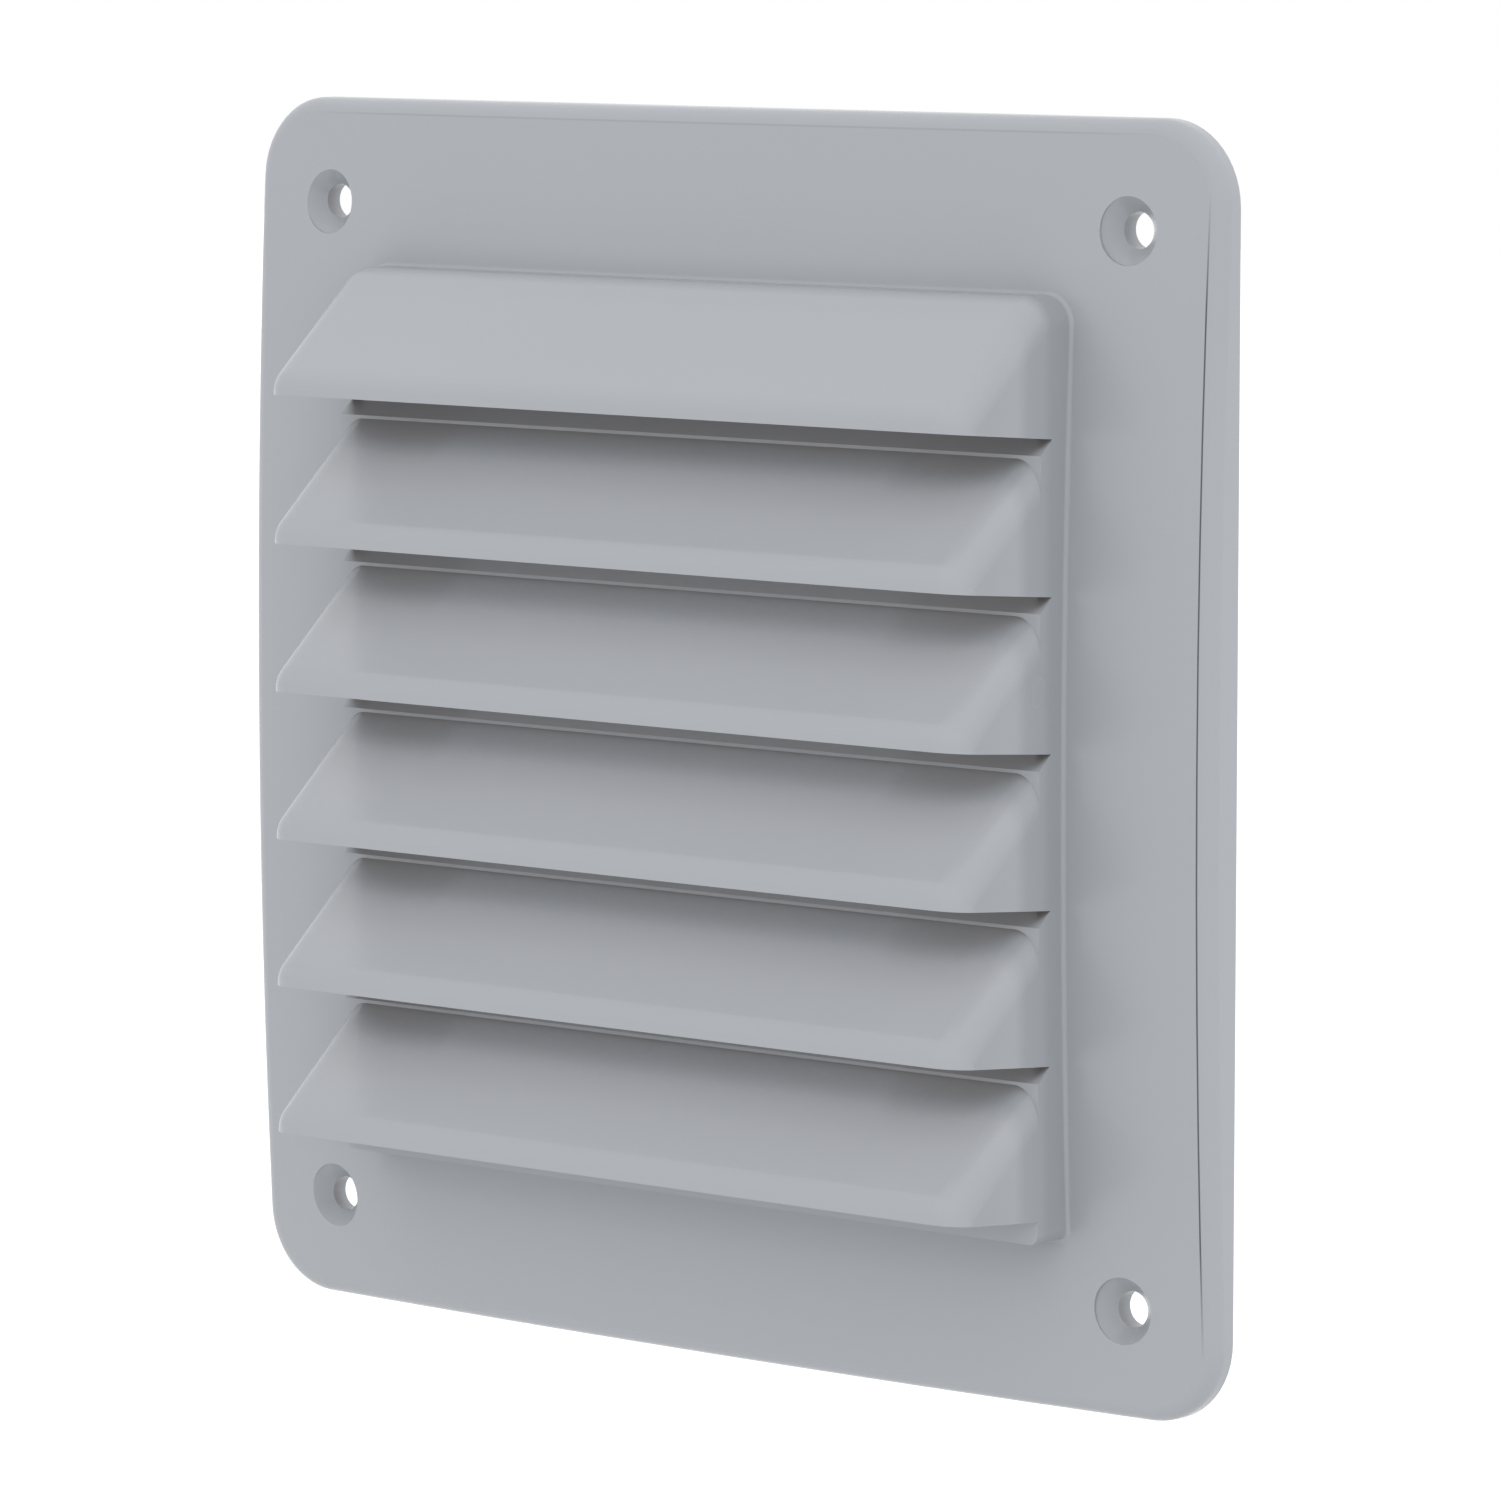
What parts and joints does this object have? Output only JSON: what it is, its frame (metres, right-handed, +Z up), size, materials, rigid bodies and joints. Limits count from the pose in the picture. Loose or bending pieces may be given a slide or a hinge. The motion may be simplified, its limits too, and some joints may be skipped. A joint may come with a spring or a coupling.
{
  "type": "ventilation grille",
  "caption": "Square wall ventilation grille, a domed face plate with a raised field of hooded louvres and a countersunk screw hole in each corner.",
  "frame": {"origin": "centre of the screw pattern on the back plane, where the grille meets the wall", "axes": "+X to the right seen from the front, +Y into the wall, +Z up, louvres open downwards"},
  "size_m": [0.15, 0.025, 0.15],
  "materials": {
    "face": "satin, light cool grey, moulded"
  },
  "bodies": {
    "root": {"root": "face"}
  },
  "joints": []
}
